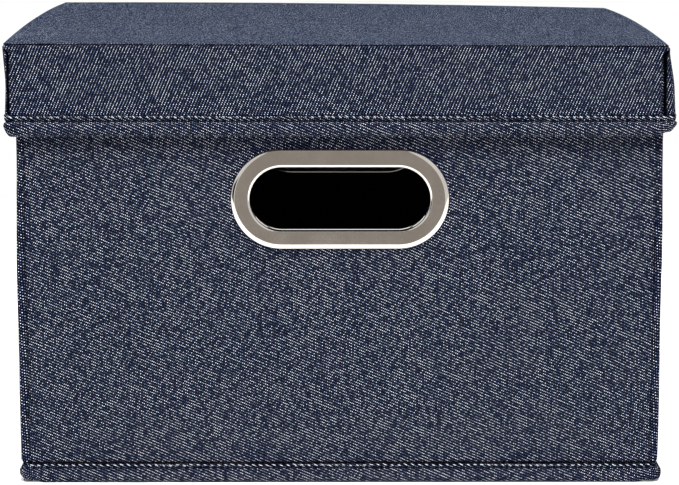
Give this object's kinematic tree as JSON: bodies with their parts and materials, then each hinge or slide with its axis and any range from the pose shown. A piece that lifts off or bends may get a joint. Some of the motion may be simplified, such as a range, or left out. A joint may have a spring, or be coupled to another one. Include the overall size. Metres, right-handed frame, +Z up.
{
  "type": "fabric storage box",
  "caption": "Rectangular denim-covered storage box with a lift-off lipped lid, oval metal-rimmed hand holes front and back, and a loose covered base board.",
  "frame": {"origin": "centre of the underside, on the surface that the box stands on", "axes": "+X along the width, -Y towards the front, +Z up"},
  "size_m": [0.3958, 0.3228, 0.2662],
  "materials": {
    "denim": "matte",
    "dark_lining": "matte",
    "ribbon": "satin",
    "grey_board": "matte",
    "chromed_frame": "polished"
  },
  "bodies": {
    "box": {"front_wall_board": "grey_board", "back_wall_board": "grey_board", "left_wall_board_front": "grey_board", "left_wall_board_rear": "grey_board", "right_wall_board_front": "grey_board", "right_wall_board_rear": "grey_board", "front_cover": "denim", "back_cover": "denim", "left_cover": "denim", "right_cover": "denim", "front_lining": "dark_lining", "back_lining": "dark_lining", "left_lining": "dark_lining", "right_lining": "dark_lining", "bottom_panel": "dark_lining", "bottom_binding": "denim", "rim_binding": "denim", "front_handle_bezel": "chromed_frame", "back_handle_bezel": "chromed_frame", "front_handle_backing_ring": "chromed_frame", "back_handle_backing_ring": "chromed_frame"},
    "base_insert": {"base_insert_board": "grey_board", "base_insert_cover": "dark_lining"},
    "pull_tab": {"base_pull_tab": "ribbon"},
    "lid": {"lid_top_board": "grey_board", "lid_front_lip_board": "grey_board", "lid_back_lip_board": "grey_board", "lid_left_lip_board": "grey_board", "lid_right_lip_board": "grey_board", "lid_top_cover": "denim", "lid_front_lip_cover": "denim", "lid_back_lip_cover": "denim", "lid_left_lip_cover": "denim", "lid_right_lip_cover": "denim", "lid_gusset_front_left": "denim", "lid_gusset_front_right": "denim", "lid_gusset_back_left": "denim", "lid_gusset_back_right": "denim", "lid_hem_band": "denim", "lid_lining": "dark_lining"}
  },
  "joints": [
    {"name": "lid_lift", "type": "slide", "parent": "box", "child": "lid", "axis": [0, 0, 1], "range_m": [0, 0.2]},
    {"name": "base_insert_lift", "type": "slide", "parent": "box", "child": "base_insert", "axis": [0, 0, 1], "range_m": [0, 0.2]},
    {"name": "pull_tab_flip", "type": "hinge", "parent": "base_insert", "child": "pull_tab", "pos_m": [0, -0.112, 0.0055], "axis": [1, 0, 0], "range_deg": [0, 90]}
  ]
}
